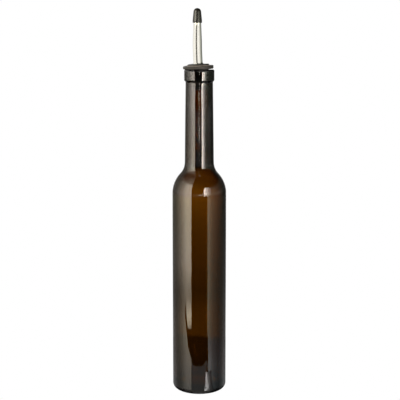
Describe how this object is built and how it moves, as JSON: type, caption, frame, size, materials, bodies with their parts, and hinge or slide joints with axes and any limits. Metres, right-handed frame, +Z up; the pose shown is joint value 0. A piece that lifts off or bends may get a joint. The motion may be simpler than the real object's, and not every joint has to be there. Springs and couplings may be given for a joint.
{
  "type": "oil bottle with pourer",
  "caption": "Slim dark amber glass oil bottle with a long neck, a black ribbed stopper, a slightly bent steel pouring spout and a small glossy black tip cap.",
  "frame": {"origin": "centre of the standing ring, at the bottom of the bottle", "axes": "+Z up along the bottle's axis; the pourer leans 2.7 degrees to -X and 0.5 degrees to -Y, which is the front"},
  "size_m": [0.054, 0.054, 0.3856],
  "materials": {
    "amber_glass": "smooth dark amber bottle glass",
    "stopper_plastic": "moulded black plastic",
    "seal_rubber": "soft black rubber",
    "flange_rubber": "satin dark brown-black rubber",
    "spout_steel": "polished stainless steel",
    "vent_steel": "drawn stainless steel",
    "cap_plastic": "glossy black soft plastic"
  },
  "bodies": {
    "bottle": {"bottle": "amber_glass"},
    "stopper": {"stopper_core": "stopper_plastic", "seal_ring_1": "seal_rubber", "seal_ring_2": "seal_rubber", "seal_ring_3": "seal_rubber", "seal_ring_4": "seal_rubber", "flange_washer": "flange_rubber"},
    "spout": {"spout_tube": "spout_steel", "vent_tube": "vent_steel"},
    "cap": {"tip_cap": "cap_plastic"}
  },
  "joints": [
    {"name": "stopper_pull", "type": "slide", "parent": "bottle", "child": "stopper", "axis": [0, 0, 1], "range_m": [0, 0.06]},
    {"name": "spout_turn", "type": "hinge", "parent": "stopper", "child": "spout", "pos_m": [0, 0, 0.3064], "axis": [-0.0471, -0.0087, 0.9989], "continuous": true},
    {"name": "cap_pull", "type": "slide", "parent": "spout", "child": "cap", "axis": [0, 0, 1], "range_m": [0, 0.025]}
  ]
}
